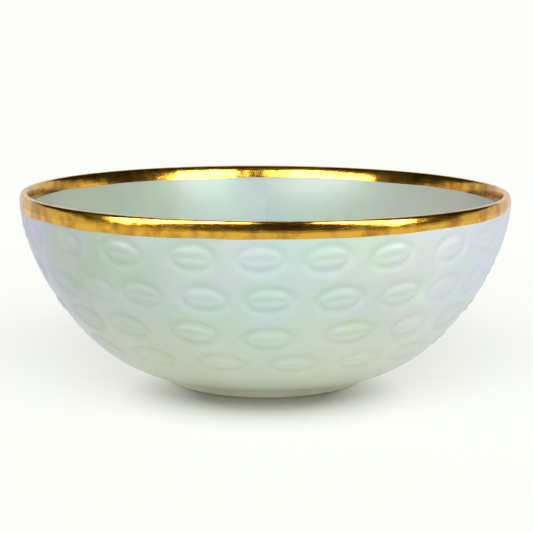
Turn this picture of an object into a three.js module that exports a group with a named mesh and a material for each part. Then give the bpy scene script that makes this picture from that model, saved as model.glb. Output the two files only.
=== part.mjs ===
// A porcelain serving bowl, 280 mm across and 109 mm high, standing on a foot ring.
//
// Millimetres, +Z up. The origin is the centre of the circle the foot stands on, so z = 0 is the table.
// Every piece is turned about +Z, as the bowl is on a wheel:
//   porcelain_body  the fired clay of the wall and floor, up to the rounded lip
//   foot_ring       the ring of the same clay luted on under the floor
//   outer_glaze     the pearl glaze on the outside of the wall
//   inner_glaze     the pearl glaze that lines the inside
//   foot_glaze      the glaze round the outside of the foot, wiped off its standing edge
//   base_glaze      the glaze on the underside, down to the standing edge inside the foot
//   gold_rim_band   the gold that wraps the lip and runs a little way down both sides
import * as THREE from "three";

// Driving dimensions
const RIM_RADIUS = 140;
const HEIGHT = 109;
const LIP_RADIUS = 2.5; // outside the lip is a quarter round, and the wall is twice this at the top
const LIP_EASE = 7; // how far down the inside the lip is rounded
const FOOT_RADIUS = 60.5; // outside of the foot at the table
const FOOT_WIDTH = 7.5; // across the ring at the table, glaze and all
const FOOT_HEIGHT = 5.9; // from the table to the underside of the bowl
const FOOT_FLARE = 1; // how much each side of the ring leans out towards the bowl
const FOOT_BEVEL = 0.8; // on both edges of the standing face
const BARE_EDGE = 1.2; // height of the unglazed clay at the bottom of the foot
const FLOOR_HEIGHT = 13.2; // top of the floor inside the bowl
const FLOOR_RADIUS = 61.5; // the flat middle of the floor
const GOLD_DROP_OUTSIDE = 8.2; // from the top of the lip to the lower edge of the gold
const GOLD_DROP_INSIDE = 7.6;

// Shape of the two faces of the wall: how far the side leans in on its way down, the height it aims for,
// and how far the rounded belly reaches out past the floor.
const OUTER_SHAPE = { lean: 1.7, aim: 63.2, reach: 35.5 };
const INNER_SHAPE = { lean: 2, aim: 64.3, reach: 30.5 };

const COAT = 0.6; // thickness of every fired coat, glaze and gold alike
const GAP = 0.3; // free space between pieces that touch on the real bowl
const SET_BACK = COAT + GAP; // from the finished surface to the clay under it

const SEGMENTS = 60; // round the bowl
const WALL_STEPS = 11; // up the wall
const LIP_STEPS = 8; // over the lip
const BAND_STEPS = 1; // up the gold on each face of the wall

// In every profile x is the distance from the axis and y is the height.
const point = (radius, height) => new THREE.Vector2(radius, height);

// One face of the wall, from the lip down to where it runs level.
function wallFace(top, bottom, shape) {
  return new THREE.CubicBezierCurve(
    top,
    point(top.x - shape.lean, shape.aim),
    point(bottom.x + shape.reach, bottom.y),
    bottom,
  );
}

const outerFace = wallFace(
  point(RIM_RADIUS, HEIGHT - LIP_RADIUS),
  point(FOOT_RADIUS + FOOT_FLARE, FOOT_HEIGHT),
  OUTER_SHAPE,
);
const innerFace = wallFace(
  point(RIM_RADIUS - 2 * LIP_RADIUS, HEIGHT - LIP_EASE),
  point(FLOOR_RADIUS, FLOOR_HEIGHT),
  INNER_SHAPE,
);

// How far along a wall face its height has come down to a given one.
function placeAt(face, height) {
  let low = 0;
  let high = 1;
  while (high - low > 1e-6) {
    const middle = (low + high) / 2;
    if (face.getPoint(middle).y > height) {
      low = middle;
    } else {
      high = middle;
    }
  }
  return low;
}

// Points along part of a wall face, moved into the wall by a depth.
function lineAlong(face, depth, from, to, steps) {
  const intoWall = face === outerFace ? 1 : -1;
  const line = [];
  for (let i = 0; i <= steps; i++) {
    const place = from + ((to - from) * i) / steps;
    const along = face.getTangent(place);
    const inwards = point(along.y, -along.x).multiplyScalar(intoWall * depth);
    line.push(face.getPoint(place).add(inwards));
  }
  return line;
}

// Points up the outside, over the lip and down the inside, moved into the wall by a depth.
function lineOverLip(depth, outerEnd, innerEnd, steps) {
  const lip = [];
  for (let i = 1; i < LIP_STEPS; i++) {
    const angle = (Math.PI * i) / LIP_STEPS;
    const rise = Math.cos(angle) > 0 ? LIP_RADIUS : LIP_EASE;
    const radius = RIM_RADIUS - LIP_RADIUS + Math.cos(angle) * (LIP_RADIUS - depth);
    lip.push(point(radius, HEIGHT - rise + Math.sin(angle) * (rise - depth)));
  }
  return [
    ...lineAlong(outerFace, depth, outerEnd, 0, steps),
    ...lip,
    ...lineAlong(innerFace, depth, 0, innerEnd, steps),
  ];
}

// A solid turned about +Z. Its profile runs anticlockwise, and either begins and ends on the axis or is a
// loop clear of it.
function turned(profile) {
  const outline = profile[0].x > 0 ? [...profile, profile[0]] : profile;
  return new THREE.LatheGeometry(outline, SEGMENTS).rotateX(Math.PI / 2);
}

function porcelainBody() {
  return turned([
    point(0, FOOT_HEIGHT),
    point(FOOT_RADIUS + FOOT_FLARE - SET_BACK, FOOT_HEIGHT),
    ...lineOverLip(SET_BACK, 1, 1, WALL_STEPS),
    point(0, FLOOR_HEIGHT - SET_BACK),
  ]);
}

function outerGlaze() {
  const top = placeAt(outerFace, HEIGHT - GOLD_DROP_OUTSIDE - GAP);
  return turned([
    ...lineAlong(outerFace, 0, 1, top, WALL_STEPS),
    ...lineAlong(outerFace, COAT, top, 1, WALL_STEPS),
  ]);
}

function innerGlaze() {
  const top = placeAt(innerFace, HEIGHT - GOLD_DROP_INSIDE - GAP);
  return turned([
    point(0, FLOOR_HEIGHT - COAT),
    ...lineAlong(innerFace, COAT, 1, top, WALL_STEPS),
    ...lineAlong(innerFace, 0, top, 1, WALL_STEPS),
    point(0, FLOOR_HEIGHT),
  ]);
}

function goldRimBand() {
  const outerEnd = placeAt(outerFace, HEIGHT - GOLD_DROP_OUTSIDE);
  const innerEnd = placeAt(innerFace, HEIGHT - GOLD_DROP_INSIDE);
  return turned([
    ...lineOverLip(0, outerEnd, innerEnd, BAND_STEPS),
    ...lineOverLip(COAT, outerEnd, innerEnd, BAND_STEPS).reverse(),
  ]);
}

// The foot's sides are straight lines: how far each leans out by a given height.
const footTop = FOOT_HEIGHT - GAP;
const flareAt = (height) => (FOOT_FLARE * (height - FOOT_BEVEL)) / (footTop - FOOT_BEVEL);
const footOutside = (height, depth) => point(FOOT_RADIUS + flareAt(height) - depth, height);
const footInside = (height, depth) => point(FOOT_RADIUS - FOOT_WIDTH - flareAt(height) + depth, height);

function footRing() {
  return turned([
    point(footInside(FOOT_BEVEL, SET_BACK).x + FOOT_BEVEL, 0),
    point(footOutside(FOOT_BEVEL, SET_BACK).x - FOOT_BEVEL, 0),
    footOutside(FOOT_BEVEL, SET_BACK),
    footOutside(footTop, SET_BACK),
    footInside(footTop, SET_BACK),
    footInside(FOOT_BEVEL, SET_BACK),
  ]);
}

function footGlaze() {
  return turned([
    footOutside(BARE_EDGE, COAT),
    footOutside(BARE_EDGE, 0),
    footOutside(footTop, 0),
    footOutside(footTop, COAT),
  ]);
}

function baseGlaze() {
  const underside = footTop - COAT;
  return turned([
    point(0, underside),
    footInside(underside, 0),
    footInside(BARE_EDGE, 0),
    footInside(BARE_EDGE, COAT),
    footInside(footTop, COAT),
    point(0, footTop),
  ]);
}

const bowl = new THREE.Group();
bowl.name = "serving_bowl";

function addPiece(name, geometry, color, roughness, metalness) {
  const material = new THREE.MeshStandardMaterial({ color, roughness, metalness });
  const mesh = new THREE.Mesh(geometry, material);
  mesh.name = name;
  bowl.add(mesh);
}

addPiece("porcelain_body", porcelainBody(), "#e8e4da", 0.7, 0);
addPiece("foot_ring", footRing(), "#d8d2c2", 0.75, 0);
addPiece("outer_glaze", outerGlaze(), "#c5d9cf", 0.3, 0);
addPiece("inner_glaze", innerGlaze(), "#bccfc4", 0.3, 0);
addPiece("foot_glaze", footGlaze(), "#a9ac90", 0.35, 0);
addPiece("base_glaze", baseGlaze(), "#cfd4c4", 0.3, 0);
addPiece("gold_rim_band", goldRimBand(), "#c9993a", 0.2, 1);

export default bowl;
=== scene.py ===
"""Looks of a porcelain serving bowl with a carved pearl glaze and a gold rim.

Lengths are in metres in the row frame: the origin is the centre of the circle the foot stands on,
and +Z is up along the axis the bowl was thrown on. Every piece is a closed shell spun round +Z.
"""

import logging
import math
from dataclasses import dataclass
from enum import Enum

import bpy
import numpy as np
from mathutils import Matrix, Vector


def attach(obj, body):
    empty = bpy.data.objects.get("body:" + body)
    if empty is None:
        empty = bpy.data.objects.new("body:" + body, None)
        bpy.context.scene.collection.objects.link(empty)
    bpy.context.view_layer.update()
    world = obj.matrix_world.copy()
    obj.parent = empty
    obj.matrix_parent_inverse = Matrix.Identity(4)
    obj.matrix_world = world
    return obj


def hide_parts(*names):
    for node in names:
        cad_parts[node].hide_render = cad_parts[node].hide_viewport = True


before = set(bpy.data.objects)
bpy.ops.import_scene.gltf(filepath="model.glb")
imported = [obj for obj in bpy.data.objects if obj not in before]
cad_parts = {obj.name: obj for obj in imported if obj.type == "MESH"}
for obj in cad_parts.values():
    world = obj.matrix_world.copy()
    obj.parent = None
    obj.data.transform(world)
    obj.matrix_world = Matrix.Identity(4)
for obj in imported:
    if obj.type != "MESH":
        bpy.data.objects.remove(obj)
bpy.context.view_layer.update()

Tree = bpy.types.NodeTree
Node = bpy.types.Node
Socket = bpy.types.NodeSocket
Material = bpy.types.Material
Piece = bpy.types.Object

MM = 0.001
LOG = logging.getLogger("bowl")
TAU = 2 * math.pi
BOWL_MIDDLE = (0.0, 0.0, 0.06)


# --- Colour and nodes ---


def colour(code: str) -> tuple[float, float, float, float]:
    """Turns an sRGB hex code into the linear colour that a shader socket takes.

    Args:
        code: Six hex digits after a hash.

    Returns:
        Red, green, blue and alpha, all linear.
    """
    parts = [int(code[i : i + 2], 16) / 255 for i in (1, 3, 5)]
    linear = [c / 12.92 if c <= 0.04045 else ((c + 0.055) / 1.055) ** 2.4 for c in parts]
    return (*linear, 1.0)


def add(tree: Tree, kind: str, settings: dict | None = None, links: dict | None = None) -> Node:
    """Adds a node to a tree.

    Args:
        tree: The tree it goes in.
        kind: The node's class name after ``ShaderNode``.
        settings: Values by name. A name that is a property of the node sets that, any other sets an input.
        links: Output sockets by the name or number of the input they feed.

    Returns:
        The new node.
    """
    node = tree.nodes.new("ShaderNode" + kind)
    for name, value in (settings or {}).items():
        if isinstance(name, str) and hasattr(node, name):
            setattr(node, name, value)
        else:
            node.inputs[name].default_value = value
    for name, socket in (links or {}).items():
        tree.links.new(socket, node.inputs[name])
    return node


def ramp(tree: Tree, source: Socket, stops: list[tuple[float, str]]) -> Socket:
    """Adds a colour ramp.

    Args:
        tree: The tree it goes in.
        source: The output socket that drives it.
        stops: Position and hex colour of each stop.

    Returns:
        The ramp's colour output.
    """
    node = add(tree, "ValToRGB", links={"Fac": source})
    elements = node.color_ramp.elements
    while len(elements) < len(stops):
        elements.new(0.5)
    for element, (position, code) in zip(elements, stops):
        element.position = position
        element.color = colour(code)
    return node.outputs["Color"]


def scaled(tree: Tree, source: Socket, low: float, high: float) -> Socket:
    """Maps a socket's 0 to 1 value onto the range from low to high, and returns the mapped socket."""
    return add(tree, "MapRange", {"To Min": low, "To Max": high}, {"Value": source}).outputs["Result"]


def noise(tree: Tree, where: Socket, size: float, detail: float = 3.0, roughness: float = 0.5) -> Socket:
    """Adds a noise whose blotches are about ``size`` metres wide, and returns its value socket."""
    settings = {"Scale": 1 / size, "Detail": detail, "Roughness": roughness}
    return add(tree, "TexNoise", settings, {"Vector": where}).outputs["Fac"]


def blank(name: str) -> tuple[Material, Tree, Node, Socket]:
    """Starts a material.

    Args:
        name: The material's name.

    Returns:
        The material, its tree, its shader, and the socket that gives a place on the piece, in metres.
    """
    material = bpy.data.materials.new(name)
    material.use_nodes = True
    tree = material.node_tree
    return material, tree, tree.nodes["Principled BSDF"], add(tree, "TexCoord").outputs["Object"]


# --- Outlines ---


class Side(Enum):
    """Which way the clay lies from a face of the wall."""

    OUTSIDE = 1
    INSIDE = -1


@dataclass(frozen=True)
class WallFace:
    """One finished face of the wall, a cubic curve from the lip down to where it runs level.

    Attributes:
        controls: The curve's four control points, as (distance from the axis, height) in mm.
        side: Which face it is.
    """

    controls: tuple[tuple[float, float], ...]
    side: Side

    def curve(self, t: np.ndarray) -> tuple[np.ndarray, np.ndarray]:
        """Finds points and directions on the curve.

        Args:
            t: Parameters from 0 at the lip to 1 at the bottom.

        Returns:
            Points and unit tangents, each of shape (n, 2).
        """
        a, b, c, d = (np.array(p) for p in self.controls)
        t = np.asarray(t, float)[:, None]
        points = (1 - t) ** 3 * a + 3 * (1 - t) ** 2 * t * b + 3 * (1 - t) * t**2 * c + t**3 * d
        along = (1 - t) ** 2 * (b - a) + 2 * (1 - t) * t * (c - b) + t**2 * (d - c)
        return points, along / np.linalg.norm(along, axis=1, keepdims=True)

    def lengths(self) -> tuple[np.ndarray, np.ndarray]:
        """Measures the curve.

        Returns:
            Closely spaced parameters, and the distance in mm from the lip to each.
        """
        t = np.linspace(0, 1, 2001)
        steps = np.linalg.norm(np.diff(self.curve(t)[0], axis=0), axis=1)
        return t, np.concatenate([[0], np.cumsum(steps)])

    def line(self, depth: float, start: float, end: float, steps: int) -> np.ndarray:
        """Spaces points evenly along part of the face, set into the wall.

        Args:
            depth: How far into the wall, in mm.
            start: Distance down the face of the first point, in mm.
            end: Distance down the face of the last point, in mm. Infinity means the bottom.
            steps: How many spaces there are between points.

        Returns:
            Points of shape (steps + 1, 2), in mm.
        """
        t, lengths = self.lengths()
        places = np.linspace(start, min(end, lengths[-1]), steps + 1)
        points, along = self.curve(np.interp(places, lengths, t))
        inwards = np.stack([along[:, 1], -along[:, 0]], axis=1) * self.side.value
        return points + depth * inwards


@dataclass(frozen=True)
class Lip:
    """The rounded top edge of the wall, drawn by how its face turns from outside to inside.

    Attributes:
        turns: Distance along the face in mm, and the degrees by which it has turned there. It faces straight
            out at 0, up at 90 and in at 180.
        crowding: How much closer points lie where it turns, in mm for each degree.
    """

    turns: tuple[tuple[float, float], ...] = (
        (0, 2), (1.9, 7.5), (4.1, 13.5), (5.3, 33), (5.7, 65), (6.0, 82),
        (7.7, 92), (8.2, 120), (8.6, 145), (9.6, 160), (11.3, 167), (15.1, 171.5),
    )  # fmt: skip
    crowding: float = 0.06

    def line(self, steps: int) -> np.ndarray:
        """Draws the lip.

        Args:
            steps: How many spaces there are between points.

        Returns:
            Points of shape (steps + 1, 2), in mm, from where it leaves the outer face.
        """
        places = np.linspace(0, self.turns[-1][0], 1001)
        angle = np.radians(np.interp(places, *zip(*self.turns)))
        ahead = np.stack([-np.sin(angle), np.cos(angle)], axis=1) * places[1]
        drawn = np.vstack([[[0, 0]], np.cumsum((ahead[1:] + ahead[:-1]) / 2, axis=0)])
        share = places + np.degrees(angle) * self.crowding
        chosen = np.interp(np.linspace(0, share[-1], steps + 1), share, places)
        return np.stack([np.interp(chosen, places, drawn[:, i]) for i in (0, 1)], axis=1)


@dataclass(frozen=True)
class BowlShape:
    """Sizes that several pieces share, in mm. All but the lip and the inner curve are the CAD's.

    Attributes:
        rim: Outer radius of the rim.
        height: Top of the lip.
        lip: The rounded top edge.
        foot: Outer radius of the foot at the table.
        foot_width: Across the ring at the table.
        foot_height: Underside of the bowl.
        foot_flare: How far each side of the ring leans out towards the bowl.
        floor: Height of the floor inside.
        outer_curve: The outer face's upper control point, as distance in from the rim and height, and its
            lower one's distance out from the foot.
        inner_curve: The same for the inner face.
    """

    rim: float = 140.0
    height: float = 109.0
    lip: Lip = Lip()
    foot: float = 60.5
    foot_width: float = 7.5
    foot_height: float = 5.9
    foot_flare: float = 1.0
    floor: float = 13.2
    outer_curve: tuple[float, float, float] = (1.7, 63.2, 35.5)
    inner_curve: tuple[float, float, float] = (5.6, 64.3, 30.5)

    @property
    def outer_fall(self) -> float:
        """How far down the outside the lip is rounded."""
        return self.lip.line(400)[:, 1].max()

    @property
    def inner_fall(self) -> float:
        """How far down the inside the lip is rounded."""
        return self.outer_fall - self.lip.line(400)[-1, 1]

    @property
    def lip_width(self) -> float:
        """Thickness of the wall where the lip's rounding ends inside."""
        return -self.lip.line(400)[-1, 0]

    @property
    def outside(self) -> WallFace:
        """The outer face of the wall."""
        bottom = self.foot + self.foot_flare
        low = self.foot_height
        top = self.height - self.outer_fall
        lean, belly, spread = self.outer_curve
        controls = ((self.rim, top), (self.rim - lean, belly), (bottom + spread, low), (bottom, low))
        return WallFace(controls, Side.OUTSIDE)

    @property
    def inside(self) -> WallFace:
        """The inner face of the wall."""
        bottom = self.foot + self.foot_flare
        radius = self.rim - self.lip_width
        top = self.height - self.inner_fall
        lean, belly, spread = self.inner_curve
        low = self.floor
        controls = ((radius, top), (radius - lean, belly), (bottom + spread, low), (bottom, low))
        return WallFace(controls, Side.INSIDE)

    def over_lip(self, depth: float, steps: int) -> np.ndarray:
        """Rounds the lip, from the outer face to the inner one, leaving out both ends.

        Args:
            depth: How far into the clay, in mm.
            steps: How many spaces there are between points over the half round.

        Returns:
            Points of shape (steps - 1, 2), in mm.
        """
        line = self.lip.line(steps)
        half = self.lip_width / 2
        crest = line[:, 1].argmax()
        fall = np.where(np.arange(steps + 1) < crest, self.outer_fall, self.inner_fall)
        radius = self.rim - half + (line[:, 0] + half) * (half - depth) / half
        below = (line[crest, 1] - line[:, 1]) / fall
        height = self.height - fall + (1 - below) * (fall - depth)
        return np.stack([radius, height], axis=1)[1:-1]


def eased(corners: list[tuple[float, float, float]], steps: int = 6) -> np.ndarray:
    """Rounds the corners of an outline.

    Args:
        corners: Distance from the axis, height and rounding radius of each corner, in mm.
        steps: How many spaces there are between points round a corner.

    Returns:
        The rounded outline, in mm.
    """
    points = []
    for i, (x, y, radius) in enumerate(corners):
        here = np.array([x, y])
        if radius == 0:
            points.append(here)
            continue
        before = np.array(corners[i - 1][:2]) - here
        after = np.array(corners[(i + 1) % len(corners)][:2]) - here
        before, after = before / np.linalg.norm(before), after / np.linalg.norm(after)
        reach = radius / math.tan(math.acos(np.clip(before @ after, -1, 1)) / 2)
        for t in np.linspace(0, 1, steps + 1):
            points.append(here + reach * ((1 - t) ** 2 * before + t**2 * after))
    return np.array(points)


# --- Spun shells ---


class Columns(Enum):
    """How many columns of faces go round a piece."""

    CARVED = 720
    SMOOTH = 360
    HIDDEN = 180


def spun(name: str, outline: np.ndarray, columns: Columns, sharp: float = 40.0) -> Piece:
    """Spins a closed shell round +Z.

    Args:
        name: The piece's name.
        outline: Points in mm, from axis to axis or in a loop clear of the axis.
        columns: How finely it goes round.
        sharp: Edges that turn more than this many degrees stay crisp.

    Returns:
        The piece, its mesh in metres, merged and facing outwards.
    """
    loop = outline if outline[0, 0] < 1e-6 else np.vstack([outline, outline[:1]])
    places = [(x * MM, 0.0, z * MM) for x, z in loop]
    bpy.ops.object.select_all(action="DESELECT")
    bpy.ops.mesh.primitive_plane_add(size=MM)
    piece = bpy.context.object
    piece.name = piece.data.name = name
    bpy.ops.object.mode_set(mode="EDIT")
    bpy.ops.mesh.merge(type="CENTER")
    bpy.ops.transform.translate(value=places[0])
    for here, there in zip(places, places[1:]):
        move = tuple(b - a for a, b in zip(here, there))
        bpy.ops.mesh.extrude_vertices_move(TRANSFORM_OT_translate={"value": move})
    bpy.ops.object.mode_set(mode="OBJECT")
    screw = piece.modifiers.new("spin", "SCREW")
    screw.steps = screw.render_steps = columns.value
    screw.use_merge_vertices = True
    bpy.ops.object.modifier_apply(modifier=screw.name)
    bpy.ops.object.mode_set(mode="EDIT")
    bpy.ops.mesh.select_all(action="SELECT")
    bpy.ops.mesh.remove_doubles(threshold=2e-6)
    bpy.ops.mesh.normals_make_consistent(inside=False)
    bpy.ops.object.mode_set(mode="OBJECT")
    bpy.ops.object.shade_smooth_by_angle(angle=math.radians(sharp))
    return piece


def places_of(piece: Piece) -> np.ndarray:
    """Reads a piece's vertices.

    Args:
        piece: A mesh object.

    Returns:
        Positions of shape (n, 3), in mm.
    """
    co = np.empty(len(piece.data.vertices) * 3, np.float32)
    piece.data.vertices.foreach_get("co", co)
    return co.reshape(-1, 3).astype(float) / MM


def push(piece: Piece, distances: np.ndarray, direction: str = "NORMAL") -> None:
    """Moves each vertex of a piece by its own distance.

    Args:
        piece: A mesh object.
        distances: How far each vertex goes, in mm.
        direction: NORMAL for outwards, or X, Y or Z.
    """
    for sign in (1, -1):
        share = np.clip(distances * sign, 0, None)
        furthest = share.max()
        if furthest == 0:
            continue
        group = piece.vertex_groups.new(name="push")
        for i in np.flatnonzero(share > 0):
            group.add([int(i)], share[i] / furthest, "REPLACE")
        settings = piece.modifiers.new("push", "DISPLACE")
        settings.vertex_group = group.name
        settings.direction = direction
        settings.mid_level = 0
        settings.strength = sign * furthest * MM
        bpy.context.view_layer.objects.active = piece
        bpy.ops.object.modifier_apply(modifier=settings.name)
        piece.vertex_groups.clear()


# --- Carving ---


@dataclass(frozen=True)
class Oval:
    """One carved oval: a groove round a low cushion, most with a slit along the middle.

    Attributes:
        turn: Degrees round from the front, to the right.
        drop: Distance down the wall from the lip, in mm.
        length: From end to end of the groove's centre line, in mm.
        height: From top to bottom of the groove's centre line, in mm.
        tilt: Degrees its right end is raised.
        slit: Depth of the slit in the top row, in mm.
        depth: How deeply it is cut, compared with the top row.
    """

    turn: float
    drop: float
    length: float
    height: float
    tilt: float
    slit: float
    depth: float

    def cut(self, turn: np.ndarray, drop: np.ndarray, radius: float, tool: "CarvedWall") -> np.ndarray:
        """Works out the relief that this oval leaves.

        Args:
            turn: Degrees round of each place.
            drop: Distance down the wall of each place, in mm.
            radius: Distance of the oval's centre from the axis, in mm.
            tool: Widths and depths shared by all ovals.

        Returns:
            Height over the plain wall at each place, in mm, below zero in the grooves.
        """
        along = np.radians((turn - self.turn + 180) % 360 - 180) * radius
        up = self.drop - drop
        tilt = math.radians(self.tilt)
        x = along * math.cos(tilt) + up * math.sin(tilt)
        y = up * math.cos(tilt) - along * math.sin(tilt)
        rho = np.hypot(x / (self.length / 2), y / (self.height / 2)) + 1e-9
        off_groove = (rho - 1) / rho * np.hypot(x, y)
        groove = tool.groove_depth * self.depth * np.exp(-((off_groove / tool.groove_width) ** 2))
        beyond = np.clip(np.abs(x) - tool.slit_share * self.length / 2, 0, None)
        off_slit = np.hypot(beyond / 2, y + tool.slit_bow * (x / self.length) ** 2)
        slit = self.slit * self.depth * np.exp(-((off_slit / tool.slit_width) ** 2))
        cushion = tool.cushion * self.depth * np.clip(1 - rho**2, 0, None)
        return cushion - groove - slit


@dataclass(frozen=True)
class OvalRow:
    """One row of carved ovals. Those across the front are listed one by one, and the rest are spaced out.

    Attributes:
        drop: Distance down the wall from the lip, in mm.
        length: Of a typical oval, in mm.
        height: Of a typical oval, in mm.
        depth: How deeply it is cut, compared with the top row.
        front: Turn, extra drop, tilt and slit depth of each oval listed one by one.
        behind: How many more there are round the back.
    """

    drop: float
    length: float
    height: float
    depth: float
    front: tuple[tuple[float, float, float, float], ...]
    behind: int

    def ovals(self, rng: np.random.Generator) -> list[Oval]:
        """Lists the row's ovals.

        Args:
            rng: The source of the small differences between hand-cut ovals.

        Returns:
            The ovals, front ones first.
        """
        found = []
        for turn, lower, tilt, slit in self.front:
            found.append(Oval(turn, self.drop + lower, self.length, self.height, tilt, slit, self.depth))
        first, last = self.front[0][0] + 360, self.front[-1][0]
        step = (first - last) / (self.behind + 1)
        for i in range(1, self.behind + 1):
            turn = last + i * step + rng.normal(0, 0.07) * step
            size = 1 + rng.uniform(-0.08, 0.08, 2)
            lower, tilt, slit = rng.normal(0, 0.9), rng.normal(0, 5), rng.uniform(0, 0.64)
            length, height = self.length * size[0], self.height * size[1]
            found.append(Oval(turn, self.drop + lower, length, height, tilt, slit, self.depth))
        return found


CARVED_ROWS = (
    OvalRow(
        13.4, 22.0, 13.0, 1.0,
        (
            (-47, 0, -8, 0.2), (-31, 0, -6, 0.4), (-14.8, 0, -2, 0.5), (-0.8, 0, 3, 0.44),
            (12.8, 0, 5, 0.56), (27, 0, 8, 0.4), (43, 0, 10, 0.4),
        ),
        17,
    ),
    OvalRow(
        36.2, 23.0, 13.4, 1.3,
        (
            (-40.5, 0, -8, 0.4), (-28, 0, -4, 0.5), (-13.2, 0, -3, 0.24), (1, 0, 3, 0.5),
            (16.5, 0, 6, 0.4), (31.5, 0, 8, 0.44), (45, 0, 8, 0.5), (58.5, 0, 8, 0.4),
        ),
        17,
    ),
    OvalRow(
        59.0, 25.0, 14.0, 1.7,
        (
            (-51.5, 0, -8, 0.4), (-36, 0, -10, 0.44), (-17, 0, -6, 0.44), (1, 3, 0, 0.04),
            (21, 0, 5, 0.6), (39, 0, 8, 0.3), (55.8, 0, 8, 0.4),
        ),
        13,
    ),
    OvalRow(
        82.5, 24.0, 13.0, 1.6,
        (
            (-33, 0, -10, 0.2), (-12, 0, -2, 0.1), (8, 0, 2, 0.1), (28, 0, 5, 0.4), (47, 0, 8, 0.4),
        ),
        13,
    ),
)  # fmt: skip


@dataclass(frozen=True)
class CarvedWall:
    """The relief carved round the outside of the wall.

    Attributes:
        groove_depth: Depth of the ring groove, in mm.
        groove_width: Half width of the ring groove, in mm.
        slit_width: Half width of the slit, in mm.
        slit_share: Length of the slit over the length of its oval.
        slit_bow: How far the ends of the slit bend down, in mm.
        cushion: How high the middle of an oval swells, in mm.
        sway: How far the wall wanders from round, in mm.
        plain: How much of the wall above the foot is left plain, in mm.
        fades: Over how much of the wall the relief fades out at the lip and above the foot, in mm.
        rows: The rows of ovals, from the top down.
        seed: Fixes the small differences.
    """

    groove_depth: float = 0.75
    groove_width: float = 2.2
    slit_width: float = 1.6
    slit_share: float = 0.5
    slit_bow: float = 1.5
    cushion: float = 0.3
    sway: float = 0.12
    plain: float = 14.0
    fades: tuple[float, float] = (3.0, 8.0)
    rows: tuple[OvalRow, ...] = CARVED_ROWS
    seed: int = 11

    def relief(self, turn: np.ndarray, drop: np.ndarray, face: WallFace) -> np.ndarray:
        """Works out the whole relief.

        Args:
            turn: Degrees round of each place.
            drop: Distance down the wall of each place, in mm.
            face: The outer face of the wall.

        Returns:
            Height over the plain wall at each place, in mm.
        """
        rng = np.random.default_rng(self.seed)
        t, lengths = face.lengths()
        total = np.zeros(len(turn))
        for row in self.rows:
            for oval in row.ovals(rng):
                radius = face.curve(np.interp([oval.drop], lengths, t))[0][0, 0]
                away = np.abs((turn - oval.turn + 180) % 360 - 180)
                near = np.radians(away) * radius < oval.length
                near &= np.abs(drop - oval.drop) < oval.height
                total[near] += oval.cut(turn[near], drop[near], radius, self)
        above_foot = lengths[-1] - self.plain - drop
        fade = np.clip(drop / self.fades[0], 0, 1) * np.clip(above_foot / self.fades[1], 0, 1)
        sway = np.sin(np.radians(turn) * 9 + drop / 17) + np.sin(np.radians(turn) * 14 + 1 - drop / 11)
        return fade * (total + self.sway * sway)


def where_on(face: WallFace, places: np.ndarray, reach: float) -> tuple[np.ndarray, np.ndarray, np.ndarray]:
    """Finds which vertices lie on a face of the wall, and where.

    Args:
        face: The face.
        places: Vertex positions, in mm.
        reach: How far off the face a vertex may be, in mm.

    Returns:
        Numbers of the vertices on the face, their degrees round, and their distances down it in mm.
    """
    t, lengths = face.lengths()
    points = face.curve(t[::4])[0]
    outlines = np.stack([np.hypot(places[:, 0], places[:, 1]), places[:, 2]], axis=1)
    outline, back = np.unique(outlines.round(2), axis=0, return_inverse=True)
    off = np.linalg.norm(outline[:, None] - points[None], axis=2)
    nearest = off.argmin(axis=1)
    near = off.min(axis=1) < reach
    back = back.ravel()
    on = np.flatnonzero(near[back])
    turn = np.degrees(np.arctan2(places[on, 0], -places[on, 1]))
    return on, turn, lengths[::4][nearest[back[on]]]


# --- Finishes ---


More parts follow.
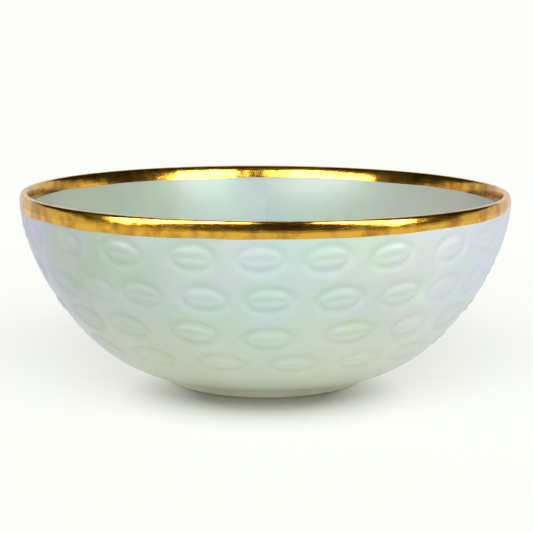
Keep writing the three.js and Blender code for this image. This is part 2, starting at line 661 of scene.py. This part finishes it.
@dataclass(frozen=True)
class PearlGlaze:
    """Mother-of-pearl lustre fired over a satin glaze.

    The lustre runs in the kiln, so its tint drifts from aqua to green, cream and lavender round the bowl and
    clouds in small patches. On the outside that drift also holds painted light: a painted sheen in the
    lavender towards the sides, a painted highlight in the paler patch right of the front, and painted shade
    in the darker green left of it. Its thin film turns lavender where the wall curves away, and the matt
    crystals in the glaze blur what it reflects.

    Attributes:
        name: The material's name.
        drift: Degrees round from the front to the right, and the tint there.
        clouds: Hex colours of the two kinds of small patch.
        cloud_share: How strong the patches are.
        low_tint_and_shade: Hex colour the wall turns to low down, near the foot. On the outside it is partly
            painted shade, standing for the shade that falls low on the wall.
        low_tint_and_shade_top: Height at which that colour has faded out, in metres.
        roughness: Least and most roughness of the satin surface.
        gloss: Specular level.
        sheen: Strength of the pearly bloom.
    """

    name: str
    drift: tuple[tuple[float, str], ...]
    clouds: tuple[str, str] = ("#adccb4", "#c8c2d9")
    cloud_share: float = 0.3
    low_tint_and_shade: str = "#c9cfb6"
    low_tint_and_shade_top: float = 0.065
    roughness: tuple[float, float] = (0.32, 0.46)
    gloss: float = 0.5
    sheen: float = 0.12

    def tint(self, tree: Tree, where: Socket) -> Socket:
        """Mixes the lustre's colour.

        Args:
            tree: The material's tree.
            where: The coordinate socket, in metres.

        Returns:
            The colour socket.
        """
        parts = add(tree, "SeparateXYZ", links={"Vector": where})
        front = add(tree, "Math", {"operation": "MULTIPLY", 1: -1.0}, {0: parts.outputs["Y"]}).outputs[0]
        turn = add(tree, "Math", {"operation": "ARCTAN2"}, {0: parts.outputs["X"], 1: front}).outputs[0]
        wander = scaled(tree, noise(tree, where, 0.05, 3.0), -0.09, 0.09)
        share = add(tree, "MapRange", {"From Min": -math.pi, "From Max": math.pi}, {"Value": turn}).outputs[0]
        swayed = add(tree, "Math", {"operation": "ADD"}, {0: share, 1: wander}).outputs[0]
        # The tint round the bowl. On the outside it also carries painted sheen, painted highlight and painted
        # shade.
        round_it = ramp(tree, swayed, [(0.5 + degrees / 360, code) for degrees, code in self.drift])
        cloud = ramp(
            tree, noise(tree, where, 0.022, 4.0, 0.62), [(0.38, self.clouds[0]), (0.62, self.clouds[1])]
        )
        mottle = scaled(tree, noise(tree, where, 0.009, 3.0, 0.6), 0.0, 2 * self.cloud_share)
        clouded = add(tree, "MixRGB", links={"Fac": mottle, "Color1": round_it, "Color2": cloud}).outputs[0]
        # Low on the wall the colour turns to low_tint_and_shade. On the outside this is partly painted shade
        # near the foot.
        reach = {"From Min": self.low_tint_and_shade_top, "From Max": 0.004}
        low = add(tree, "MapRange", reach, {"Value": parts.outputs["Z"]}).outputs["Result"]
        foot = {"Color2": colour(self.low_tint_and_shade)}
        return add(tree, "MixRGB", foot, {"Fac": low, "Color1": clouded}).outputs[0]

    def build(self) -> Material:
        """Makes the material.

        Returns:
            The new material.
        """
        material, tree, shader, where = blank(self.name)
        tree.links.new(self.tint(tree, where), shader.inputs["Base Color"])
        cloud = noise(tree, where, 0.012, 4.0, 0.6)
        tree.links.new(scaled(tree, cloud, *self.roughness), shader.inputs["Roughness"])
        orange_peel = noise(tree, where, 0.0016, 3.0, 0.6)
        bump = add(tree, "Bump", {"Strength": 0.15, "Distance": 0.0001}, {"Height": orange_peel})
        tree.links.new(bump.outputs["Normal"], shader.inputs["Normal"])
        shader.inputs["IOR"].default_value = 1.52
        shader.inputs["Specular IOR Level"].default_value = self.gloss
        shader.inputs["Sheen Weight"].default_value = self.sheen
        shader.inputs["Sheen Roughness"].default_value = 0.45
        shader.inputs["Sheen Tint"].default_value = colour("#c9c8ee")
        shader.inputs["Coat Weight"].default_value = self.gloss / 2
        shader.inputs["Coat Roughness"].default_value = 0.28
        return material


# Tints round the outside, set for the front view. They are partly the lustre's own colour and partly painted
# light: painted sheen in the lavender towards the sides, a painted highlight in the pale patch right of the
# front, and painted shade in the darker green left of the front.
OUTSIDE_TINTS_AND_PAINTED_LIGHT = (
    (-180, "#b6c5c2"), (-145, "#bac0c9"), (-110, "#b0bcb3"), (-80, "#b2afcc"), (-62, "#afafc7"),
    (-40, "#9fb097"), (-12, "#b8ccc1"), (5, "#b6d1cb"), (24, "#c4d4c1"), (44, "#d9e0df"), (62, "#d1ddef"),
    (82, "#b1bbc6"), (115, "#bbcac1"), (150, "#c4c8bd"), (180, "#b6c5c2"),
)  # fmt: skip
LINING_DRIFT = (
    (-180, "#9cb0aa"), (-165, "#a5bcb1"), (-150, "#a2b29f"), (-110, "#bdc8b4"), (-70, "#cdd1c0"),
    (0, "#aabdb4"), (70, "#c2c4bd"), (110, "#bfc0b7"), (150, "#a3b5a5"), (180, "#9cb0aa"),
)  # fmt: skip


@dataclass(frozen=True)
class BrushedGold:
    """Liquid bright gold, brushed on by hand and fired.

    It mirrors like metal leaf, but the brush leaves fine streaks along the rim, and it burns browner where it
    is thin.

    Attributes:
        name: The material's name.
        full: Hex colour of a full coat.
        thin: Hex colour of a thin coat.
        burnt: Hex colour where it has burnt away most.
        streak: How wide a brush streak is across the rim, in metres.
        draw: How many times longer than wide it is.
    """

    name: str = "fired_bright_gold"
    full: str = "#dcab3c"
    thin: str = "#bd8830"
    burnt: str = "#a06d26"
    streak: float = 0.0006
    draw: float = 22.0

    def build(self) -> Material:
        """Makes the material.

        Returns:
            The new material.
        """
        material, tree, shader, where = blank(self.name)
        parts = add(tree, "SeparateXYZ", links={"Vector": where})
        x, y, z = (parts.outputs[axis] for axis in "XYZ")
        level = add(tree, "CombineXYZ", links={"X": x, "Y": y}).outputs["Vector"]
        radius = add(tree, "VectorMath", {"operation": "LENGTH"}, {0: level}).outputs["Value"]
        across = add(tree, "Math", {"operation": "SUBTRACT"}, {0: z, 1: radius}).outputs["Value"]
        stretched = add(tree, "Math", {"operation": "MULTIPLY", 1: self.draw}, {0: across}).outputs["Value"]
        brushed = add(tree, "CombineXYZ", links={"X": x, "Y": y, "Z": stretched}).outputs["Vector"]
        streaks = noise(tree, brushed, self.streak * self.draw, 4.0, 0.6)
        coat = noise(tree, where, 0.014, 4.0, 0.55)
        painted = noise(tree, where, 0.018, 2.0)
        body = ramp(tree, coat, [(0.3, self.burnt), (0.43, self.thin), (0.54, self.full)])
        tree.links.new(body, shader.inputs["Base Color"])
        tree.links.new(scaled(tree, streaks, 0.08, 0.24), shader.inputs["Roughness"])
        waves = add(tree, "Bump", {"Strength": 1.0, "Distance": 0.0004}, {"Height": painted}).outputs[0]
        bump = add(tree, "Bump", {"Strength": 0.3, "Distance": 0.0001}, {"Height": streaks, "Normal": waves})
        tree.links.new(bump.outputs["Normal"], shader.inputs["Normal"])
        shader.inputs["Metallic"].default_value = 1.0
        return material


@dataclass(frozen=True)
class FiredClay:
    """White porcelain clay, fired without glaze.

    The bare clay is chalky, with duller patches and fine pits.

    Attributes:
        name: The material's name.
        clay: Hex colour of the clay.
        shade: Hex colour of its duller patches.
    """

    name: str = "bare_porcelain"
    clay: str = "#d9d4c4"
    shade: str = "#bdb7a2"

    def build(self) -> Material:
        """Makes the material.

        Returns:
            The new material.
        """
        material, tree, shader, where = blank(self.name)
        body = ramp(tree, noise(tree, where, 0.006, 4.0), [(0.3, self.shade), (0.6, self.clay)])
        tree.links.new(body, shader.inputs["Base Color"])
        grain = noise(tree, where, 0.0007, 3.0, 0.65)
        tree.links.new(scaled(tree, grain, 0.7, 0.95), shader.inputs["Roughness"])
        bump = add(tree, "Bump", {"Strength": 0.4, "Distance": 0.0001}, {"Height": grain})
        tree.links.new(bump.outputs["Normal"], shader.inputs["Normal"])
        return material


@dataclass(frozen=True)
class ClearGlaze:
    """Plain glaze over white clay, as on the foot and the underside.

    It is thin and slightly grey-green, with broad uneven patches where it was wiped.

    Attributes:
        name: The material's name.
        thick: Hex colour where the glaze has pooled.
        thin: Hex colour where the clay shows through.
    """

    name: str
    thick: str
    thin: str

    def build(self) -> Material:
        """Makes the material.

        Returns:
            The new material.
        """
        material, tree, shader, where = blank(self.name)
        body = ramp(tree, noise(tree, where, 0.015, 4.0), [(0.35, self.thick), (0.65, self.thin)])
        tree.links.new(body, shader.inputs["Base Color"])
        tree.links.new(scaled(tree, noise(tree, where, 0.004, 3.0), 0.22, 0.4), shader.inputs["Roughness"])
        runs = noise(tree, where, 0.002, 2.0)
        bump = add(tree, "Bump", {"Strength": 0.15, "Distance": 0.0001}, {"Height": runs})
        tree.links.new(bump.outputs["Normal"], shader.inputs["Normal"])
        shader.inputs["IOR"].default_value = 1.52
        return material


# --- Pieces ---


def fit(piece: Piece, material: Material, node: str) -> Piece:
    """Dresses a piece and puts it in the place of its CAD node.

    Args:
        piece: The piece.
        material: Its finish.
        node: The CAD node it stands for.

    Returns:
        The same piece.
    """
    piece.data.materials.clear()
    piece.data.materials.append(material)
    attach(piece, "root")
    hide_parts(node)
    LOG.info("%s: %d faces, %s", piece.name, len(piece.data.polygons), material.name)
    return piece


@dataclass
class ClayBody:
    """The thrown porcelain under the glaze: the wall and floor, and the foot ring luted on below.

    Attributes:
        shape: Sizes of the bowl.
        depth: How far the clay lies under the finished wall, in mm.
        ring_set_back: How far the ring's clay lies under its glaze, in mm.
        gap: Between the ring and the wall, in mm.
        edge: Rounding of the standing edge, in mm.
    """

    shape: BowlShape
    depth: float = 1.6
    ring_set_back: float = 0.9
    gap: float = 0.3
    edge: float = 1.0

    def build(self, finish: Material) -> None:
        """Builds and dresses the wall and the ring.

        Args:
            finish: The bare clay.
        """
        shape = self.shape
        outside = shape.outside.line(self.depth, 0, math.inf, 30)[::-1]
        inside = shape.inside.line(self.depth, 0, math.inf, 30)
        under, over = [[0, shape.foot_height + self.depth]], [[0, shape.floor - self.depth]]
        wall = np.vstack([under, outside, shape.over_lip(self.depth, 8), inside, over])
        fit(spun("clay_wall", wall, Columns.HIDDEN), finish, "porcelain_body")
        outer = shape.foot - self.ring_set_back
        inner = shape.foot - shape.foot_width + self.ring_set_back
        top = shape.foot_height + self.depth - self.gap
        flare = shape.foot_flare
        base = [(inner, 0, self.edge), (outer, 0, self.edge)]
        ring = eased([*base, (outer + flare, top, 0), (inner - flare, top, 0)])
        fit(spun("clay_foot_ring", ring, Columns.SMOOTH), finish, "foot_ring")


@dataclass
class OuterGlaze:
    """The glazed outside of the wall, with the carving in it.

    Attributes:
        shape: Sizes of the bowl.
        carving: The relief.
        thickness: Of the shell, in mm.
        tuck: How far the glaze dips under the gold, in mm.
        tuck_end: Distance down the wall at which it has come back up, in mm.
        rows: Rows of faces up the carved surface.
    """

    shape: BowlShape
    carving: CarvedWall
    thickness: float = 1.3
    tuck: float = 0.35
    tuck_end: float = 1.0
    rows: int = 122

    def build(self, finish: Material) -> None:
        """Builds, carves and dresses the shell.

        Args:
            finish: The pearl glaze.
        """
        face = self.shape.outside
        front = face.line(0, self.tuck_end, math.inf, self.rows)
        edge = face.line(self.tuck, 0.1, 0.5, 1)
        outline = np.vstack([edge, front, face.line(self.thickness, 0.1, math.inf, 8)[::-1]])
        piece = spun("outer_glaze_carved", outline, Columns.CARVED)
        places = places_of(piece)
        on, turn, drop = where_on(face, places, 0.2)
        distances = np.zeros(len(places))
        distances[on] = self.carving.relief(turn, drop, face)
        push(piece, distances)
        fit(piece, finish, "outer_glaze")


@dataclass
class Lining:
    """The glazed inside of the bowl.

    Attributes:
        shape: Sizes of the bowl.
        thickness: Of the shell, in mm.
        tuck: How far the glaze dips under the gold, in mm.
        rows: Rows of faces up the wall.
    """

    shape: BowlShape
    thickness: float = 0.9
    tuck: float = 0.35
    rows: int = 80

    def build(self, finish: Material) -> None:
        """Builds and dresses the shell.

        Args:
            finish: The pearl glaze.
        """
        shape = self.shape
        face = shape.inside
        floor = shape.floor
        front = face.line(0, 0, math.inf, self.rows)
        back = face.line(self.thickness, 0, math.inf, 20)[::-1]
        tuck = shape.over_lip(self.tuck, 32)[-3:]
        flat = np.array([[r, floor] for r in (50, 38, 26, 14, 4)])
        outline = np.vstack([[[0, floor - self.thickness]], back, tuck, front, flat, [[0, floor]]])
        fit(spun("lining_glaze", outline, Columns.SMOOTH), finish, "inner_glaze")


@dataclass
class GoldRim:
    """The gold painted over the lip, with its hand-painted edges.

    Attributes:
        shape: Sizes of the bowl.
        carving: The relief of the wall under it.
        outer_drop: From the top of the lip to the lower edge outside, in mm.
        inner_drop: From the top of the lip to the lower edge inside, in mm.
        proud: How far it stands off the glaze, in mm.
        thickness: Of the shell, in mm.
        slope: How much higher its outside edge is on the right than in the middle, in mm.
        wander: How far its edges stray, in mm.
        seed: Fixes how the edges stray.
    """

    shape: BowlShape
    carving: CarvedWall
    outer_drop: float = 8.3
    inner_drop: float = 7.6
    proud: float = 0.1
    thickness: float = 0.5
    slope: float = 1.1
    wander: float = 0.28
    seed: int = 5

    def outline(self) -> np.ndarray:
        """Draws the band's outline.

        Returns:
            A loop of points, in mm.
        """
        shape = self.shape
        outer = self.outer_drop - shape.outer_fall
        inner = self.inner_drop - shape.inner_fall
        loops = []
        for depth, rows, lip in ((-self.proud, 6, 48), (self.thickness, 3, 8)):
            outside = shape.outside.line(depth, 0, outer, rows)[::-1]
            inside = shape.inside.line(depth, 0, inner, 2)
            loops.append(np.vstack([outside, shape.over_lip(depth, lip), inside]))
        return np.vstack([loops[0], loops[1][::-1]])

    def stray(self, turn: np.ndarray, rng: np.random.Generator) -> np.ndarray:
        """Works out how far an edge strays from level.

        Args:
            turn: Degrees round of each place.
            rng: The source of the brush's wobble.

        Returns:
            How far the edge is raised at each place, in mm.
        """
        raised = np.zeros(len(turn))
        for waves in (3, 5, 8, 12, 19, 31):
            size = self.wander * rng.uniform(0.5, 1) / math.sqrt(waves / 3)
            raised += size * np.sin(np.radians(turn) * waves + rng.uniform(0, TAU))
        return raised

    def build(self, finish: Material) -> None:
        """Builds and dresses the band.

        Args:
            finish: The gold.
        """
        shape = self.shape
        piece = spun("gold_rim", self.outline(), Columns.CARVED)
        rng = np.random.default_rng(self.seed)
        places = places_of(piece)
        turn = np.degrees(np.arctan2(places[:, 0], -places[:, 1]))
        outside = np.hypot(places[:, 0], places[:, 1]) > shape.rim - shape.lip_width / 2
        below = shape.height - places[:, 2]
        slope = self.slope * np.sin(np.radians(turn))
        outer = (slope + self.stray(turn, rng)) * np.clip(below / self.outer_drop, 0, 1) ** 2
        inner = self.stray(turn, rng) * np.clip(below / self.inner_drop, 0, 1) ** 2
        push(piece, np.where(outside, outer, inner), "Z")
        places = places_of(piece)
        on, turn, drop = where_on(shape.outside, places, 0.25)
        distances = np.zeros(len(places))
        distances[on] = self.carving.relief(turn, drop, shape.outside)
        push(piece, distances)
        fit(piece, finish, "gold_rim_band")


@dataclass
class FootGlazes:
    """The glaze round the outside of the foot, and on the underside within it.

    Attributes:
        shape: Sizes of the bowl.
        bare: Height of the bare clay at the bottom of the foot, in mm.
        fillet: Radius of the glaze pooled under the wall, in mm.
        thickness: Of the coats, in mm.
        lap: How far the outer coat runs out under the wall, in mm.
        recess: How far the underside's coat hangs below the clay, in mm.
    """

    shape: BowlShape
    bare: float = 1.1
    fillet: float = 1.1
    thickness: float = 0.6
    lap: float = 4.0
    recess: float = 0.9

    def build(self, foot: Material, base: Material) -> None:
        """Builds and dresses both coats.

        Args:
            foot: The glaze outside the foot.
            base: The glaze on the underside.
        """
        shape = self.shape
        top = shape.foot_height
        outer = shape.foot + shape.foot_flare
        band = eased(
            [
                (shape.foot - self.thickness + 0.1, self.bare, 0.1),
                (shape.foot + 0.1, self.bare, 0.25),
                (outer, top, self.fillet),
                (outer + self.lap, top + 0.02, 0.02),
                (outer + self.lap, top + 0.35, 0),
                (outer - self.thickness, top + 0.35, 0),
            ]
        )
        fit(spun("foot_glaze_band", band, Columns.SMOOTH), foot, "foot_glaze")
        inner = shape.foot - shape.foot_width
        under = shape.foot_height - self.recess
        disc = eased(
            [
                (0, under, 0),
                (inner - shape.foot_flare, under, self.fillet),
                (inner, self.bare, 0.1),
                (inner + self.thickness, self.bare, 0.1),
                (inner - shape.foot_flare + self.thickness, shape.foot_height, 0),
                (0, shape.foot_height, 0),
            ]
        )
        fit(spun("underside_glaze", disc, Columns.SMOOTH), base, "base_glaze")


# --- Studio ---


class Kind(Enum):
    """Whether a light lights surfaces, whether it shows in reflections, its outline, and how full that is."""

    SOFTBOX = (True, False, "RECTANGLE", 1.0)
    CARD = (False, True, "ELLIPSE", math.pi / 4)


@dataclass(frozen=True)
class SoftLight:
    """A soft studio light.

    Attributes:
        name: The light's name.
        place: Where its middle is, in metres.
        width: Of the light, in metres.
        height: Of the light, in metres.
        brightness: Radiance of its face.
        aim: The point it faces, in metres.
        kind: A softbox lights surfaces, and a card only shows in reflections.
    """

    name: str
    place: tuple[float, float, float]
    width: float
    height: float
    brightness: float
    aim: tuple[float, float, float] = BOWL_MIDDLE
    kind: Kind = Kind.SOFTBOX

    def build(self) -> None:
        """Hangs the light."""
        bpy.ops.object.light_add(type="AREA", location=self.place)
        lamp = bpy.context.object
        lamp.name = self.name
        lamp.visible_camera = False
        lamp.visible_diffuse, lamp.visible_glossy, lamp.data.shape, filled = self.kind.value
        lamp.data.size, lamp.data.size_y = self.width, self.height
        lamp.data.energy = self.brightness * math.pi * self.width * self.height * filled
        facing = Vector(self.aim) - Vector(self.place)
        lamp.rotation_euler = facing.to_track_quat("-Z", "Y").to_euler()


def hung(turn: float, rise: float, distance: float) -> tuple[float, float, float]:
    """Finds a place round the bowl.

    Args:
        turn: Degrees round from the front, to the right.
        rise: Degrees above level.
        distance: From the middle of the bowl, in metres.

    Returns:
        The place, in metres.
    """
    turn, rise = math.radians(turn), math.radians(rise)
    level = distance * math.cos(rise)
    return (level * math.sin(turn), -level * math.cos(turn), distance * math.sin(rise) + BOWL_MIDDLE[2])


@dataclass(frozen=True)
class GlowingFloor:
    """A matt pale floor that glows, except in a round patch under and in front of the foot.

    That patch is a painted shadow: the glow washes out real shadows, so the soft shadow is left mostly there.

    Attributes:
        name: The material's name.
        reach: Radius of the table, in metres.
        painted_shadow_middle: Middle of the painted shadow, the part that does not glow, in metres.
        opaque: Share of the reach, counted from there, and hex colour of each stop of what it scatters back.
            It is paler inside the painted shadow, which sets how dark that shadow is.
        glow_and_painted_shadow: The same for its glow, which is left out in the painted shadow.
    """

    name: str = "glowing_floor_painted_shadow"
    reach: float = 0.9
    painted_shadow_middle: tuple[float, float, float] = (0.0, -0.045, 0.0)
    opaque: tuple[tuple[float, str], ...] = ((0.033, "#e0e1dc"), (0.089, "#9e9f9b"))
    glow_and_painted_shadow: tuple[tuple[float, str], ...] = ((0.039, "#000000"), (0.089, "#cbccc8"), (1.0, "#d6d7d2"))

    def build(self) -> Material:
        """Makes the material.

        Returns:
            The new material.
        """
        material, tree, shader, where = blank(self.name)
        # Distance from the middle of the painted shadow in front of the foot. Near it the floor does not
        # glow, which paints a shadow there.
        away = add(tree, "VectorMath", {"operation": "DISTANCE", 1: self.painted_shadow_middle}, {0: where}).outputs["Value"]
        share = add(tree, "MapRange", {"From Max": self.reach}, {"Value": away}).outputs[0]
        tree.links.new(ramp(tree, share, self.opaque), shader.inputs["Base Color"])
        tree.links.new(ramp(tree, share, self.glow_and_painted_shadow), shader.inputs["Emission Color"])
        shader.inputs["Emission Strength"].default_value = 1.0
        shader.inputs["Roughness"].default_value = 1.0
        shader.inputs["Specular IOR Level"].default_value = 0.0
        return material


@dataclass
class Studio:
    """The floor, the lights and the camera.

    Attributes:
        lights: The soft lights.
        floor: Finish of the round floor.
        fill: Radiance of the even light that fills the room.
        pale: Radiance of the low pale wall behind, which shows in anything shiny.
        dark: Radiance of the unlit room above it and in front.
        wall_rise: How high the pale wall reaches, over its distance, at the sides, and how much more behind.
        sheet: How far aside the pale sheet starts to fade, and where it ends, over its distance.
        backdrop: Hex colour of the background.
    """

    lights: tuple[SoftLight, ...] = (
        SoftLight("left_card", (-0.265, -0.25, 0.215), 0.5, 0.14, 16.0, (-0.265, 1, 0.215), Kind.CARD),
        SoftLight("right_card", (0.26, -0.25, 0.215), 0.36, 0.14, 16.0, (0.26, 1, 0.215), Kind.CARD),
        SoftLight("left_softbox", hung(-50, 40, 6.0), 4.4, 3.6, 0.9),
        SoftLight("right_softbox", hung(50, 40, 6.0), 4.4, 3.6, 1.4),
        SoftLight("high_softbox", hung(0, 54, 6.0), 4.8, 3.6, 4.2),
        SoftLight("low_softbox", hung(0, 28, 6.0), 4.8, 2.4, 1.1),
        SoftLight("foot_softbox", hung(0, 11, 6.0), 4.8, 1.4, 2.2),
        SoftLight("back_softbox", hung(180, 26, 6.0), 5.2, 2.4, 2.0),
    )
    floor: GlowingFloor = GlowingFloor()
    fill: float = 0.27
    pale: float = 0.85
    dark: float = 0.03
    wall_rise: tuple[float, float] = (0.12, 0.45)
    sheet: tuple[float, float] = (0.2, 0.34)
    backdrop: str = "#fcfdf8"

    def build(self) -> None:
        """Sets up the scene round the bowl."""
        self.lay_floor()
        self.light_room()
        for light in self.lights:
            light.build()
        self.set_camera()

    def lay_floor(self) -> None:
        """Lays a pale round floor, which glows except in a painted shadow in front of the foot."""
        bpy.ops.object.select_all(action="DESELECT")
        bpy.ops.mesh.primitive_circle_add(vertices=128, radius=self.floor.reach, fill_type="NGON")
        floor = bpy.context.object
        floor.name = "floor"
        floor.data.materials.append(self.floor.build())

    def light_room(self) -> None:
        """Makes the background, the even light of the room, and the room that shiny things mirror.

        The mirrored room is dark, with a low pale wall behind and a narrow pale sheet hung above it.
        """
        world = bpy.data.worlds.new("room")
        bpy.context.scene.world = world
        world.use_nodes = True
        tree = world.node_tree
        tree.nodes.clear()
        path = add(tree, "LightPath")
        fill = add(tree, "Background", {"Color": (1, 1, 1, 1), "Strength": self.fill}).outputs[0]
        towards = add(tree, "SeparateXYZ", links={"Vector": add(tree, "TexCoord").outputs["Object"]})
        behind = add(tree, "MapRange", {"From Min": -0.1, "From Max": 0.1}, {"Value": towards.outputs["Y"]})
        straight = add(tree, "Math", {"operation": "POWER", 1: 3.0}, {0: towards.outputs["Y"]}).outputs[0]
        low, more = self.wall_rise
        rise = add(tree, "Math", {"operation": "MULTIPLY_ADD", 1: more, 2: low}, {0: straight}).outputs[0]
        top = add(tree, "Math", {"operation": "MULTIPLY"}, {0: behind.outputs[0], 1: rise}).outputs[0]
        over = add(tree, "Math", {"operation": "SUBTRACT"}, {0: towards.outputs["Z"], 1: top}).outputs[0]
        edge = {"From Min": -0.02, "From Max": 0.04, "To Min": self.pale, "To Max": self.dark}
        wall = add(tree, "MapRange", edge, {"Value": over}).outputs[0]
        aside = add(tree, "Math", {"operation": "ABSOLUTE"}, {0: towards.outputs["X"]}).outputs[0]
        width = {"From Min": self.sheet[1], "From Max": self.sheet[0], "To Max": self.pale}
        sheet = add(tree, "MapRange", width, {"Value": aside}).outputs[0]
        hanging = add(tree, "Math", {"operation": "MULTIPLY"}, {0: sheet, 1: behind.outputs[0]}).outputs[0]
        brightest = add(tree, "Math", {"operation": "MAXIMUM"}, {0: wall, 1: hanging}).outputs[0]
        mirrored = add(tree, "Background", {"Color": (1, 1, 1, 1)}, {"Strength": brightest}).outputs[0]
        seen = add(tree, "Background", {"Color": colour(self.backdrop), "Strength": 1.0}).outputs[0]
        glossy = path.outputs["Is Glossy Ray"]
        lit = add(tree, "MixShader", links={0: glossy, 1: fill, 2: mirrored}).outputs[0]
        both = add(tree, "MixShader", links={0: path.outputs["Is Camera Ray"], 1: lit, 2: seen}).outputs[0]
        add(tree, "OutputWorld", links={"Surface": both})

    def set_camera(self) -> None:
        """Points the camera at the bowl from a little above its rim."""
        data = bpy.data.cameras.new("camera")
        data.lens, data.sensor_width = 87.7, 36
        data.clip_start, data.clip_end = 0.05, 60
        camera = bpy.data.objects.new("camera", data)
        bpy.context.scene.collection.objects.link(camera)
        camera.location = (0.0009, -0.748, 0.194)
        camera.rotation_mode = "XYZ"
        camera.rotation_euler = (math.radians(90 - 9.92), 0, 0)
        camera.rotation_euler.rotate_axis("Z", math.radians(0.28))
        bpy.context.scene.camera = camera
        bpy.context.scene.view_settings.view_transform = "Standard"


def main() -> None:
    """Builds the bowl and the studio."""
    logging.basicConfig(level=logging.INFO, format="%(message)s")
    shape = BowlShape()
    carving = CarvedWall()
    ClayBody(shape).build(FiredClay().build())
    OuterGlaze(shape, carving).build(PearlGlaze("pearl_glaze", OUTSIDE_TINTS_AND_PAINTED_LIGHT).build())
    lining = PearlGlaze("lining_pearl_glaze", LINING_DRIFT, cloud_share=0.1, low_tint_and_shade="#b4bfae", gloss=0.4)
    Lining(shape).build(lining.build())
    GoldRim(shape, carving).build(BrushedGold().build())
    foot = ClearGlaze("foot_glaze", "#dfe4c8", "#edf0da")
    underside = ClearGlaze("underside_glaze", "#c8cdb9", "#dddccd")
    FootGlazes(shape).build(foot.build(), underside.build())
    Studio().build()


if __name__ == "__main__":
    main()
